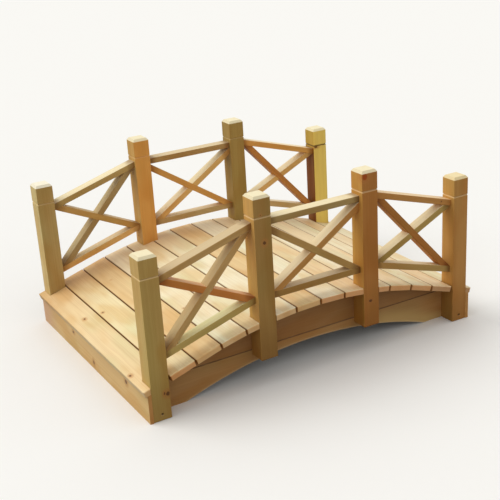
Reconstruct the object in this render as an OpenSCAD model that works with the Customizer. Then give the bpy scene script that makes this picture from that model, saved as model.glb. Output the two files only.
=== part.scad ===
// Moon bridge: an arched garden footbridge of square posts, cross-braced railings
// and a boarded deck on arched stringers.
// X runs along the bridge, Y across it and Z up. The origin is at ground level under
// the middle of the bridge. The front row of posts is at -Y and the back row at +Y.

/* [Deck] */
// Width across the outer faces of the posts, which is also the length of a deck board
bridge_w = 1515; // [1300:5:1700]
// Height of the top of the deck at its crown
crown_h = 398; // [385:1:440]
// Radius of the curve along the top of the deck
deck_r = 2333; // [2200:1:2500]
// Slope of the straight runs at both ends of the deck, in degrees
end_slope = 17; // [16:0.25:18]
// Width of a deck board
board_w = 150; // [140:1:160]
// Smallest gap that is left between two deck boards
min_gap = 3; // [2:0.5:6]
// Thickness of a deck board
board_t = 32; // [28:1:36]
// Radius along the top edges of the deck boards
board_round = 5; // [3:1:8]
// Radius around the ends of the deck boards: their top edges and their upright corners
end_round = 8; // [5:1:12]
// Clearance between a deck board and the post that it is notched around
notch_gap = 2; // [0.5:0.5:4]
// Narrowest strip of board that is left standing beside a notch
least_strip = 20; // [10:1:30]
// Overhang of the first and last board in front of the fascia boards
nosing = 21; // [10:1:30]

/* [Posts] */
// Side of the square posts
post_size = 100; // [90:1:110]
// Distance of the end posts' centres from the middle of the bridge
end_post_x = 958; // [920:1:990]
// Distance of the middle posts' centres from the middle of the bridge
mid_post_x = 329; // [280:1:380]
// Height of an end post's top edge above the handrail that meets it
end_post_rise = 116; // [105:1:150]
// Height of a middle post's top edge above the handrail that meets it
mid_post_rise = 121; // [105:1:150]
// Height of the middle posts' feet above the top of the arch
mid_foot_lift = 14; // [5:1:40]
// Width of the bevel around the top of a post
cap_inset = 11; // [5:1:20]
// Height of the bevel around the top of a post
cap_rise = 14; // [5:1:25]
// Depth of the groove's centre line below a post's top edge
groove_drop = 98; // [60:1:100]
// Width of the V-groove around a post
groove_w = 9; // [4:0.5:12]
// Depth of the V-groove around a post
groove_d = 4.5; // [2:0.5:6]
// Diameter of the sunk bolt holes in the outer faces of the end posts
bolt_hole_w = 14; // [10:1:18]
// Depth of the bolt holes
bolt_hole_d = 14; // [8:1:25]
// Height of the bolt holes above the ground
bolt_z = 36; // [28:1:60]

/* [Railings] */
// Height of the middle handrail's top above the crown of the deck
handrail_h = 506; // [450:1:560]
// Clear height under the middle bottom rail, above the crown of the deck
bottom_rail_lift = 67; // [40:1:100]
// Slope of the rails in the two end bays, in degrees
rail_slope = 16.5; // [15:0.25:18]
// Width of the handrails
handrail_w = 70; // [55:1:72]
// Thickness of the handrails
handrail_t = 35; // [26:1:40]
// Width of the bottom rails
bottom_rail_w = 60; // [45:1:70]
// Thickness of the bottom rails
bottom_rail_t = 37; // [30:1:42]
// Width of the cross braces, seen from the side
brace_w = 37; // [30:1:44]
// Depth of the cross braces across the bridge
brace_d = 66; // [50:1:70]
// Distance of the front rails and braces inside the outer faces of their posts
front_rail_inset = 28; // [5:1:28]
// Distance of the back rails and braces inside the outer faces of their posts
back_rail_inset = 15; // [5:1:28]

/* [Stringers] */
// Thickness of the stringer planks
stringer_t = 45; // [35:1:60]
// Width of the lower planks, up to their straight joint with the upper planks
lower_plank_w = 175; // [160:1:190]
// Bevel on the edges of both planks along their joint
joint_bevel = 3; // [1:0.5:5]
// Height of the arch that is sawn out of the lower planks
arch_h = 132; // [110:1:145]
// Span of the arch at the ground
arch_span = 1556; // [1450:1:1650]
// Thickness of the fascia boards across both ends
fascia_t = 20; // [16:1:28]

/* [Edges] */
// Radius on the long edges of posts, rails and braces
edge_round = 3; // [1:0.5:5]
// Bevel on the bottom edges of the posts
foot_bevel = 4; // [1:0.5:8]

/* [Hidden] */

FRONT = -1;
BACK = 1;
fine = 48;
arch_fine = 360;

// Posts: their centres, and the faces that the rails meet
half_w = bridge_w / 2;
post_y = half_w - post_size / 2;
post_x = [-end_post_x, -mid_post_x, mid_post_x, end_post_x];
end_x = end_post_x + post_size / 2;

// Deck: the point where the curve turns into the straight end run
bend_x = deck_r * sin(end_slope);
bend_z = crown_h - deck_r * (1 - cos(end_slope));
bend_s = deck_r * end_slope * PI / 180;
nose_x = end_x + fascia_t + nosing;
nose_s = bend_s + (nose_x - bend_x) / cos(end_slope);
board_n = floor((2 * nose_s + min_gap) / (board_w + min_gap));
board_pitch = (2 * nose_s - board_w) / (board_n - 1);
group_n = ceil((board_n - 2) / 3);

// Railings: heights of the level rails in the middle bay
handrail_z = crown_h + handrail_h;
bottom_rail_z = crown_h + bottom_rail_lift;

// Arch: the circle through both feet and the top of the arch
arch_r = (pow(arch_span / 2, 2) + pow(arch_h, 2)) / (2 * arch_h);

// Place, height and slope of the deck's top at the distance s from the crown,
// measured along the deck
function deck_x(s) =
    abs(s) < bend_s ? deck_r * sin(deck_tilt(s))
                    : sign(s) * (bend_x + (abs(s) - bend_s) * cos(end_slope));
function deck_z(s) =
    abs(s) < bend_s ? crown_h - deck_r * (1 - cos(deck_tilt(s)))
                    : bend_z - (abs(s) - bend_s) * sin(end_slope);
function deck_tilt(s) = sign(s) * min(end_slope, abs(s) / deck_r * 180 / PI);

// Middle of board i, measured along the deck
function board_s(i) = (i - (board_n - 1) / 2) * board_pitch;

// Corner of board i in the XZ plane, u along the board's width and w above its top
function board_corner(i, u, w) =
    let (s = board_s(i), tilt = deck_tilt(s))
    [deck_x(s) + u * cos(tilt) + w * sin(tilt), deck_z(s) - u * sin(tilt) + w * cos(tilt)];

// The faces of the posts at both sides of a bay, counted from 0 at the left end
function bay_left(bay) = post_x[bay] + post_size / 2;
function bay_right(bay) = post_x[bay + 1] - post_size / 2;

// Slope of a bay's rails, and the height that they have lost at x, beside the middle posts 0
function bay_slope(bay) = (1 - bay) * rail_slope;
function rail_drop(bay, x) =
    abs(1 - bay) * (abs(x) - mid_post_x - post_size / 2) * tan(rail_slope);
function plumb(thickness, bay) = thickness / cos(bay_slope(bay));

// Opening of a bay between its rails
function sill_z(bay, x) = bottom_rail_z - rail_drop(bay, x) + plumb(bottom_rail_t, bay);
function head_z(bay, x) = handrail_z - rail_drop(bay, x) - plumb(handrail_t, bay);

// Outer face of the rails and braces on one side, as a distance from the middle
function rail_y(side) = half_w - (side == FRONT ? front_rail_inset : back_rail_inset);

// Top edge and foot of post number 1 to 4 of a row
function is_end_post(number) = number == 1 || number == len(post_x);
function post_top(number) =
    is_end_post(number)
        ? handrail_z - rail_drop(0, end_post_x - post_size / 2) + end_post_rise
        : handrail_z + mid_post_rise;
function post_foot(number) = is_end_post(number) ? 0 : arch_h + mid_foot_lift;

// Extrudes an XZ outline from y_low to y_high
module along_y(y_low, y_high) {
    translate([0, y_high, 0])
        rotate([90, 0, 0])
            linear_extrude(y_high - y_low)
                children();
}

// Extrudes an XZ outline between two distances from the middle, on one side of the bridge
module on_side(side, inner, outer) {
    along_y(min(side * inner, side * outer), max(side * inner, side * outer))
        children();
}

module rounded_rectangle(w, h, r) {
    square([w, h - 2 * r], center = true);
    square([w - 2 * r, h], center = true);
    for (x = [-1, 1], y = [-1, 1])
        translate([x * (w / 2 - r), y * (h / 2 - r)])
            circle(r, $fn = fine);
}

// A timber along X with rounded long edges, its section centred on the X axis
module timber(length, w, h) {
    rotate([90, 0, 90])
        translate([0, 0, -length / 2])
            linear_extrude(length)
                rounded_rectangle(w, h, edge_round);
}

// Outline of a post seen from any side: bevelled foot, V-groove and bevelled top
module post_outline(foot, top) {
    h = post_size / 2;
    groove_z = top - groove_drop;
    flank = [
        [h - foot_bevel, foot],
        [h, foot + foot_bevel],
        [h, groove_z - groove_w / 2],
        [h - groove_d, groove_z],
        [h, groove_z + groove_w / 2],
        [h, top],
        [h - cap_inset, top + cap_rise]
    ];
    polygon(concat(flank, [for (i = [len(flank) - 1:-1:0]) [-flank[i][0], flank[i][1]]]));
}

module post_timber(foot, top) {
    intersection() {
        translate([0, 0, foot])
            linear_extrude(top + cap_rise - foot)
                rounded_rectangle(post_size, post_size, edge_round);
        along_y(-post_size, post_size)
            post_outline(foot, top);
        rotate([0, 0, 90])
            along_y(-post_size, post_size)
                post_outline(foot, top);
    }
}

// Sunk hole for the bolt that ties an end post to the stringer behind it
module bolt_hole(side) {
    on_side(side, post_size / 2 - bolt_hole_d, post_size)
        translate([0, bolt_z])
            circle(d = bolt_hole_w, $fn = fine);
}

module post(side, number) {
    translate([post_x[number - 1], side * post_y, 0])
        difference() {
            post_timber(post_foot(number), post_top(number));
            if (is_end_post(number))
                bolt_hole(side);
        }
}

// The side view of a stringer: planed flat under every board, arched underneath
module stringer_outline() {
    seats = [for (i = [0:board_n - 1], u = [-1, 1]) board_corner(i, u * board_w / 2, -board_t)];
    difference() {
        intersection() {
            polygon(concat([[-nose_x, 0]], seats, [[nose_x, 0]]));
            translate([-end_x, 0])
                square([2 * end_x, crown_h]);
        }
        translate([0, arch_h - arch_r])
            circle(arch_r, $fn = arch_fine);
    }
}

// The V that the bevels of both planks leave along their joint, on both faces
module joint_groove(y_low) {
    for (y = [y_low, y_low + stringer_t])
        translate([-nose_x, y, lower_plank_w])
            rotate([90, 0, 90])
                linear_extrude(2 * nose_x)
                    circle(joint_bevel, $fn = 4);
}

// One plank of a stringer, between two heights
module plank(y_low, low, high) {
    difference() {
        along_y(y_low, y_low + stringer_t)
            intersection() {
                stringer_outline();
                translate([-end_x, low])
                    square([2 * end_x, high - low]);
            }
        joint_groove(y_low);
    }
}

module upper_plank(y_low) {
    plank(y_low, lower_plank_w, crown_h);
}

module lower_plank(y_low) {
    plank(y_low, 0, lower_plank_w);
}

// Board across one end, from the ground to the slanting underside of the first board
module fascia(end) {
    last = board_n - 1;
    seat = [board_corner(last, -board_w / 2, -board_t), board_corner(last, board_w / 2, -board_t)];
    mirror([end < 0 ? 1 : 0, 0, 0])
        along_y(-half_w, half_w)
            intersection() {
                translate([end_x, 0])
                    square([fascia_t, crown_h]);
                polygon([[0, 0], [0, seat[0][1]], seat[0], seat[1], [seat[1][0], 0]]);
            }
}

// A board lying flat under its top face, with rounded top edges and rounded corners
module board_blank() {
    intersection() {
        along_y(-half_w, half_w)
            board_section(board_w, board_round);
        rotate([0, 0, 90])
            along_y(-board_w, board_w)
                board_section(bridge_w, end_round);
        translate([0, 0, -board_t])
            linear_extrude(board_t)
                rounded_rectangle(board_w, bridge_w, end_round);
    }
}

module board_section(w, r) {
    translate([-w / 2, -board_t])
        square([w, board_t - r]);
    translate([-w / 2 + r, -board_t])
        square([w - 2 * r, board_t]);
    for (x = [-1, 1])
        translate([x * (w / 2 - r), -r])
            circle(r, $fn = fine);
}

// Room for one post, opened to the edge of the board where little would be left beside it
module notch(i, x) {
    low = x - post_size / 2;
    high = x + post_size / 2;
    edge_low = board_corner(i, -board_w / 2, 0)[0];
    edge_high = board_corner(i, board_w / 2, 0)[0];
    from = low - edge_low < least_strip ? min(low, edge_low) - board_t : low - notch_gap;
    to = edge_high - high < least_strip ? max(high, edge_high) + board_t : high + notch_gap;
    for (side = [FRONT, BACK])
        on_side(side, half_w - post_size - notch_gap, half_w + post_size)
            translate([from, 0])
                square([to - from, crown_h + board_t]);
}

module deck_board(i) {
    s = board_s(i);
    touched = [
        for (x = post_x)
            if (x + post_size / 2 > board_corner(i, -board_w / 2, 0)[0] - notch_gap
                && x - post_size / 2 < board_corner(i, board_w / 2, 0)[0] + notch_gap) x
    ];
    difference() {
        translate([deck_x(s), 0, deck_z(s)])
            rotate([0, deck_tilt(s), 0])
                board_blank();
        for (x = touched)
            notch(i, x);
    }
}

module deck_boards(first, last) {
    for (i = [first:last])
        deck_board(i);
}

// A rail of one bay, its top at the height z beside the middle posts
module rail(side, bay, z, w, t) {
    from = bay_left(bay);
    to = bay_right(bay);
    middle = (from + to) / 2;
    centre_z = z - rail_drop(bay, middle) - plumb(t, bay) / 2;
    intersection() {
        translate([middle, side * (rail_y(side) - w / 2), centre_z])
            rotate([0, -bay_slope(bay), 0])
                timber(2 * (to - from), w, t);
        translate([from, -bridge_w, 0])
            cube([to - from, 2 * bridge_w, 2 * handrail_z]);
    }
}

module handrail(side, bay) {
    rail(side, bay, handrail_z, handrail_w, handrail_t);
}

module bottom_rail(side, bay) {
    rail(side, bay, bottom_rail_z + plumb(bottom_rail_t, bay), bottom_rail_w, bottom_rail_t);
}

// The corners of a bay's opening that a brace runs between
function brace_ends(bay, rising) =
    let (from = bay_left(bay), to = bay_right(bay))
    rising ? [[from, sill_z(bay, from)], [to, head_z(bay, to)]]
           : [[from, head_z(bay, from)], [to, sill_z(bay, to)]];

// Slope of a brace. In the level bay its upper edge runs from corner to corner. In the
// sloping bays it is steeper, so that it stands on the bottom rail with its whole end and
// carries the handrail with the other.
function brace_tilt(bay, run) =
    atan2(run[1], run[0]) + (bay == 1 ? 0 : sign(run[1]) * asin(brace_w / norm(run)));

// The line of a brace as the frame in which its bar is drawn
module on_brace(side, bay, rising) {
    ends = brace_ends(bay, rising);
    middle = (ends[0] + ends[1]) / 2;
    translate([middle[0], side * (rail_y(side) - brace_d / 2), middle[1]])
        rotate([0, -brace_tilt(bay, ends[1] - ends[0]), 0])
            translate([0, 0, bay == 1 ? -brace_w / 2 : 0])
                children();
}

// The half of a brace's depth that its neighbour keeps at the crossing
module lap(side, bay, rising, outer) {
    on_brace(side, bay, rising)
        translate([0, side * (outer ? 1 : -1) * brace_d / 2, 0])
            cube([4 * brace_w, brace_d, brace_w], center = true);
}

// The room that a brace is cut to: it ends on the rails, and in the level bay its high end
// is cut to the post
module brace_room(bay, rising) {
    from = bay_left(bay) - (bay == 1 && !rising ? 0 : post_size / 2);
    to = bay_right(bay) + (bay == 1 && rising ? 0 : post_size / 2);
    lift = bay == 1 ? brace_w : 0;
    along_y(-half_w, half_w)
        polygon([
            [from, sill_z(bay, from)], [to, sill_z(bay, to)],
            [to, head_z(bay, to) + lift], [from, head_z(bay, from) + lift]
        ]);
}

// A brace of one bay, halved over the other one
module brace(side, bay, rising, outer) {
    difference() {
        intersection() {
            on_brace(side, bay, rising)
                timber(2 * (bay_right(bay) - bay_left(bay)), brace_d, brace_w);
            brace_room(bay, rising);
        }
        lap(side, bay, !rising, !outer);
    }
}

module front_post(number) {
    color([0.62, 0.49, 0.27])
        post(FRONT, number);
}

module back_post(number) {
    color([0.68, 0.47, 0.25])
        post(BACK, number);
}

module front_stringer_upper() {
    color([0.45, 0.31, 0.19])
        upper_plank(-half_w + post_size);
}

module front_stringer_lower() {
    color([0.50, 0.40, 0.22])
        lower_plank(-half_w + post_size);
}

module centre_stringer_upper() {
    color([0.45, 0.31, 0.19])
        upper_plank(-stringer_t / 2);
}

module centre_stringer_lower() {
    color([0.50, 0.40, 0.22])
        lower_plank(-stringer_t / 2);
}

module back_stringer_upper() {
    color([0.45, 0.31, 0.19])
        upper_plank(half_w - post_size - stringer_t);
}

module back_stringer_lower() {
    color([0.50, 0.40, 0.22])
        lower_plank(half_w - post_size - stringer_t);
}

module left_fascia() {
    color([0.80, 0.65, 0.41])
        fascia(-1);
}

module right_fascia() {
    color([0.80, 0.65, 0.41])
        fascia(1);
}

module left_nosing_board() {
    color([0.94, 0.84, 0.65])
        deck_board(0);
}

module left_deck_boards() {
    color([0.90, 0.80, 0.60])
        deck_boards(1, group_n);
}

module middle_deck_boards() {
    color([0.88, 0.76, 0.56])
        deck_boards(group_n + 1, board_n - 2 - group_n);
}

module right_deck_boards() {
    color([0.90, 0.80, 0.60])
        deck_boards(board_n - 1 - group_n, board_n - 2);
}

module right_nosing_board() {
    color([0.94, 0.84, 0.65])
        deck_board(board_n - 1);
}

module front_handrail(number) {
    color([0.62, 0.50, 0.30])
        handrail(FRONT, number - 1);
}

module back_handrail(number) {
    color([0.66, 0.52, 0.30])
        handrail(BACK, number - 1);
}

module front_bottom_rail(number) {
    color([0.60, 0.48, 0.28])
        bottom_rail(FRONT, number - 1);
}

module back_bottom_rail(number) {
    color([0.70, 0.50, 0.28])
        bottom_rail(BACK, number - 1);
}

module front_rising_brace(number, outer) {
    color([0.63, 0.52, 0.30])
        brace(FRONT, number - 1, true, outer);
}

module front_falling_brace(number, outer) {
    color([0.55, 0.33, 0.18])
        brace(FRONT, number - 1, false, outer);
}

module back_rising_brace(number, outer) {
    color([0.66, 0.58, 0.36])
        brace(BACK, number - 1, true, outer);
}

module back_falling_brace(number, outer) {
    color([0.70, 0.45, 0.22])
        brace(BACK, number - 1, false, outer);
}

front_post(1);  // front_post_1
front_post(2);  // front_post_2
front_post(3);  // front_post_3
front_post(4);  // front_post_4
back_post(1);  // back_post_1
back_post(2);  // back_post_2
back_post(3);  // back_post_3
back_post(4);  // back_post_4
front_stringer_upper();
front_stringer_lower();
centre_stringer_upper();
centre_stringer_lower();
back_stringer_upper();
back_stringer_lower();
left_fascia();
right_fascia();
left_nosing_board();
left_deck_boards();
middle_deck_boards();
right_deck_boards();
right_nosing_board();
front_handrail(1);  // front_handrail_1
front_handrail(2);  // front_handrail_2
front_handrail(3);  // front_handrail_3
back_handrail(1);  // back_handrail_1
back_handrail(2);  // back_handrail_2
back_handrail(3);  // back_handrail_3
front_bottom_rail(1);  // front_bottom_rail_1
front_bottom_rail(2);  // front_bottom_rail_2
front_bottom_rail(3);  // front_bottom_rail_3
back_bottom_rail(1);  // back_bottom_rail_1
back_bottom_rail(2);  // back_bottom_rail_2
back_bottom_rail(3);  // back_bottom_rail_3
front_rising_brace(1, true);  // front_rising_brace_1
front_rising_brace(2, false);  // front_rising_brace_2
front_rising_brace(3, false);  // front_rising_brace_3
front_falling_brace(1, false);  // front_falling_brace_1
front_falling_brace(2, true);  // front_falling_brace_2
front_falling_brace(3, true);  // front_falling_brace_3
back_rising_brace(1, true);  // back_rising_brace_1
back_rising_brace(2, true);  // back_rising_brace_2
back_rising_brace(3, true);  // back_rising_brace_3
back_falling_brace(1, false);  // back_falling_brace_1
back_falling_brace(2, false);  // back_falling_brace_2
back_falling_brace(3, false);  // back_falling_brace_3
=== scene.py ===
"""Moon bridge: the timbers' wood, the bolts in the posts' feet, the stage and the camera."""
import math
import random

import bmesh
import bpy
from bpy.props import FloatProperty, FloatVectorProperty, PointerProperty
from mathutils import Matrix, Vector


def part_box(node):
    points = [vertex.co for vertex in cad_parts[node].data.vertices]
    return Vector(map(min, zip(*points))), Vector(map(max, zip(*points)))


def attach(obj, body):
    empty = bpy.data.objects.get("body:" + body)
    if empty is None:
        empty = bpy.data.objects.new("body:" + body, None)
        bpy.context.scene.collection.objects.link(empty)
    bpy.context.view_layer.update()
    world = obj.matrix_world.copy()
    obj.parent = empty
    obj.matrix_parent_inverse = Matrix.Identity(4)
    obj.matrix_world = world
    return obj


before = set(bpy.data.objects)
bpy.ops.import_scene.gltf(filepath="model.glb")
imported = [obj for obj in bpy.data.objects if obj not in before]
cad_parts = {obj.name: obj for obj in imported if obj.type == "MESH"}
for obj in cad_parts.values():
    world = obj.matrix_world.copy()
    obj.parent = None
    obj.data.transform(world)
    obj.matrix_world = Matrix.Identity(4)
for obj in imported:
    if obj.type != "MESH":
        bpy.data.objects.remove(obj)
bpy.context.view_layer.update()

bl_info = {
    "name": "Moon Bridge",
    "version": (1, 0, 0),
    "blender": (4, 5, 0),
    "location": "View3D > Sidebar > Bridge",
    "description": "Finishes the timbers of an arched garden footbridge and sets up its studio",
    "category": "Object",
}

# The deck's curve and its boards, in metres and radians
CROWN_HEIGHT = 0.398
DECK_RADIUS = 2.333
END_SLOPE = math.radians(17)
BOARD_WIDTH = 0.150
BOARD_PITCH = 0.154
BOARD_COUNT = 14
# The slope of the rails in the end bays
RAIL_SLOPE = math.radians(16.5)
# The arch under the stringers and the height of the joint between their planks
ARCH_HEIGHT = 0.132
ARCH_SPAN = 1.556
JOINT_HEIGHT = 0.175
# The V-groove around each post, below the post's highest point
GROOVE_DROP = 0.112
# The bolt holes in the end posts
BOLT_HEIGHT = 0.036
BOLT_HOLE_DEPTH = 0.014
# How far out the knots on the front posts (Y) and on the left fascia (X) have their centres
POST_KNOTS_OUT = -0.7575
FASCIA_KNOTS_OUT = -1.0284

# Grain directions of straight timbers
ALONG = (1, 0, 0)
ACROSS = (0, 1, 0)
UPRIGHT = (0, 0, 1)


def paint(red, green, blue):
    """A colour as it is seen on screen, from 0 to 255, turned into the shader's linear values."""
    def linear(value):
        share = value / 255
        return share / 12.92 if share <= 0.04045 else ((share + 0.055) / 1.055) ** 2.4
    return (linear(red), linear(green), linear(blue), 1.0)


class BridgeWoodSettings(bpy.types.PropertyGroup):
    """Growth rings and figure of the timbers"""
    ring: FloatProperty(
        name="Ring spacing", description="Width of one growth ring",
        default=0.0052, min=0.001, max=0.02, subtype="DISTANCE", unit="LENGTH")
    waviness: FloatProperty(
        name="Waviness", description="How far the grain wanders from a straight line",
        default=0.016, min=0.0, max=0.05, subtype="DISTANCE", unit="LENGTH")
    relief: FloatProperty(
        name="Relief", description="Height of the grain on the planed faces",
        default=0.0004, min=0.0, max=0.003, subtype="DISTANCE", unit="LENGTH")
    knot_size: FloatProperty(
        name="Knot size", description="Radius of the small knots that turn up in every timber",
        default=0.006, min=0.002, max=0.03, subtype="DISTANCE", unit="LENGTH")
    knot_colour: FloatVectorProperty(
        name="Knot colour", description="Colour at the heart of a knot",
        default=paint(104, 62, 30), size=4, min=0.0, max=1.0, subtype="COLOR")
    halo_colour: FloatVectorProperty(
        name="Halo colour", description="Colour of the wood that bends around a knot",
        default=paint(204, 136, 72), size=4, min=0.0, max=1.0, subtype="COLOR")
    # Sun bleaching with a painted sheen, on faces that look up
    bleached_and_sheen: FloatVectorProperty(
        name="Bleached colour", description="Colour of faces that look up into the light",
        default=paint(252, 238, 198), size=4, min=0.0, max=1.0, subtype="COLOR")


class BridgeBoltSettings(bpy.types.PropertyGroup):
    """Bolts in the feet of the end posts"""
    width: FloatProperty(
        name="Head width", description="Width of a bolt head across its flats",
        default=0.0095, min=0.005, max=0.03, subtype="DISTANCE", unit="LENGTH")
    height: FloatProperty(
        name="Head height", description="Height of a bolt head above the bottom of its hole",
        default=0.005, min=0.002, max=0.01, subtype="DISTANCE", unit="LENGTH")


class BridgeStageSettings(bpy.types.PropertyGroup):
    """Camera and light"""
    place: FloatVectorProperty(
        name="Camera place", description="Where the camera stands",
        default=(-2.668, -4.841, 2.575), size=3, subtype="TRANSLATION", unit="LENGTH")
    heading: FloatProperty(
        name="Heading", description="Turn of the camera from +Y towards +X",
        default=math.radians(30.77), subtype="ANGLE", unit="ROTATION")
    pitch: FloatProperty(
        name="Pitch", description="How far the camera looks down",
        default=math.radians(21.19), subtype="ANGLE", unit="ROTATION")
    roll: FloatProperty(
        name="Roll", description="Clockwise turn of the camera about its own axis",
        default=math.radians(2.86), subtype="ANGLE", unit="ROTATION")
    lens: FloatProperty(
        name="Lens", description="Focal length on a 36 mm sensor, in millimetres",
        default=72.8, min=20, max=200)
    shift: FloatProperty(
        name="Shift", description="Sideways shift of the picture, as a share of its width",
        default=-0.06, min=-0.2, max=0.2)
    sun: FloatProperty(
        name="Sun", description="Strength of the soft light from the upper left",
        default=1.28, min=0.0, max=20.0)
    softness: FloatProperty(
        name="Softness", description="Width of the sun in the sky, which blurs its shadows",
        default=math.radians(48), subtype="ANGLE", unit="ROTATION")
    sky: FloatProperty(
        name="Sky", description="Strength of the even light from all around",
        default=0.72, min=0.0, max=3.0)


class BridgeSettings(bpy.types.PropertyGroup):
    """Everything that a user may change"""
    wood: PointerProperty(type=BridgeWoodSettings)
    bolts: PointerProperty(type=BridgeBoltSettings)
    stage: PointerProperty(type=BridgeStageSettings)


def settings():
    """The bridge's settings in this scene."""
    return bpy.context.scene.bridge


class Wiring:
    """Adds nodes to a tree and joins them. A value may be a socket, a number or a colour."""

    def __init__(self, tree):
        self.tree = tree

    def put(self, socket, value):
        """Joins a socket to an input, or gives the input a value."""
        if isinstance(value, bpy.types.NodeSocket):
            self.tree.links.new(value, socket)
        else:
            socket.default_value = value

    def node(self, kind, *values, **options):
        """A new node with its options set and its first inputs given."""
        made = self.tree.nodes.new(kind)
        for name, value in options.items():
            setattr(made, name, value)
        for index, value in enumerate(values):
            if value is not None:
                self.put(made.inputs[index], value)
        return made

    def math(self, operation, *values):
        return self.node("ShaderNodeMath", *values, operation=operation).outputs[0]

    def vector(self, operation, *values):
        made = self.node("ShaderNodeVectorMath", *values, operation=operation)
        return made.outputs["Value" if operation in ("LENGTH", "DOT_PRODUCT") else "Vector"]

    def step(self, value, low, high, out_low=0.0, out_high=1.0):
        """A soft step: out_low below low and out_high above high."""
        made = self.node("ShaderNodeMapRange", interpolation_type="SMOOTHSTEP")
        for name, given in (("Value", value), ("From Min", low), ("From Max", high),
                            ("To Min", out_low), ("To Max", out_high)):
            self.put(made.inputs[name], given)
        return made.outputs["Result"]

    def noise(self, place, scale, detail=2.0, colour=False):
        made = self.node("ShaderNodeTexNoise", noise_dimensions="3D")
        self.put(made.inputs["Vector"], place)
        made.inputs["Scale"].default_value = scale
        made.inputs["Detail"].default_value = detail
        return made.outputs["Color" if colour else "Fac"]

    def mix(self, share, first, second, blend="MIX"):
        made = self.node("ShaderNodeMix", data_type="RGBA", blend_type=blend)
        self.put(made.inputs["Factor"], share)
        colours = [socket for socket in made.inputs if socket.type == "RGBA"]
        self.put(colours[0], first)
        self.put(colours[1], second)
        return [socket for socket in made.outputs if socket.type == "RGBA"][0]

    def split(self, vector):
        return self.node("ShaderNodeSeparateXYZ", vector).outputs

    def join(self, x, y, z):
        return self.node("ShaderNodeCombineXYZ", x, y, z).outputs[0]


def new_group(name, sockets_in, sockets_out):
    """A node group with the given sockets: its wiring, what it is given and what it results in."""
    tree = bpy.data.node_groups.new(name, "ShaderNodeTree")
    for label, kind in sockets_in:
        tree.interface.new_socket(label, in_out="INPUT", socket_type=kind)
    for label, kind in sockets_out:
        tree.interface.new_socket(label, in_out="OUTPUT", socket_type=kind)
    wiring = Wiring(tree)
    return wiring, wiring.node("NodeGroupInput").outputs, wiring.node("NodeGroupOutput").inputs


def shaded(w, colour, factors):
    """A colour with each of its channels made darker by a factor."""
    return w.mix(1.0, colour, factors + (1.0,), "MULTIPLY")


# A step is written as the values where it begins and ends and, if they aren't 0 and 1, as what
# it results in before and after

# How fast the wood's patterns change along the grain and across it, in cells to the metre
SWAY = (1.3, 9.0, 9.0)
DRIFT = (0.5, 14.0, 14.0)
STREAKS = (1.6, 60.0, 60.0)
FIBRES = (9.0, 600.0, 600.0)
WARM_BLOTCHES = (3.2, 9.0, 9.0)
GREEN_BLOTCHES = (2.1, 6.0, 6.0)
# A shift that keeps the green blotches from following the warm ones
GREEN_SHIFT = (7.0, 3.0, 5.0)
# How many rings the drift may add to the distance from the pith
DRIFT_RINGS = 2.5
# The steps that turn the patterns into streaks and blotches
STREAKED = (0.38, 0.72)
WARMED = (0.42, 0.66)
GREENED = (0.46, 0.68)
# Shades of a wood, as factors on its red, green and blue
WARM_SHADE = (0.89, 0.76, 0.58)
GREEN_SHADE = (0.88, 0.96, 0.92)
FIGURE_SHADE = (0.62, 0.47, 0.34)
END_RING_SHADE = (0.78, 0.60, 0.42)
FOOT_DARKENING_FACTORS = (0.66, 0.58, 0.50)
DIRT_AND_SHADE_FACTORS = (0.42, 0.32, 0.24)
# The late wood's slow beginning and sharp end, in shares of a ring
LATE_WOOD = (0.35, 0.9)
RING_END = (0.93, 1.0, 1.0, 0.0)
# How level a face is where its sun bleaching and painted sheen begin and where they are full
LEVEL = (0.62, 0.80)
# How squarely a face cuts the grain where it begins to look cut and where it fully does
CUT_ACROSS = (0.72, 0.92)
# How strongly rings and streaks show on the sides, and are kept on faces with bleaching and painted sheen
RING_SHARE = 0.15
STREAK_SHARE = 0.22
FIGURE_KEPT = 0.8
# How strongly cut ends have their own colour, and how strongly rings and blotches show on them
CUT_SHARE = 0.85
CUT_RING_SHARE = 0.5
CUT_BLOTCH_SHARE = 0.3
# Small knots: cells to the metre, the share of the cells that have none, and their unevenness
KNOT_CELLS = 7.0
WITHOUT_KNOT = 0.74
KNOT_RIPPLE = (0.02, 0.02, 0.02)
# The steps from a knot's heart and halo outwards, in knot radii
SMALL_HEART = (0.5, 1.0, 0.85, 0.0)
SMALL_HALO = (0.9, 3.0, 0.4, 0.0)
LARGE_HEART = (0.5, 1.1, 0.9, 0.0)
LARGE_HALO = (0.9, 3.0, 0.5, 0.0)
# Shares of the relief
FIBRE_HEIGHT = 0.35
RING_HEIGHT = 0.25
STREAK_HEIGHT = -0.15
SMALL_KNOT_HEIGHT = -0.5
LARGE_KNOT_HEIGHT = -0.6
# The middle of a noise's range, in each of its channels
MIDDLE = (0.5, 0.5, 0.5)


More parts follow.
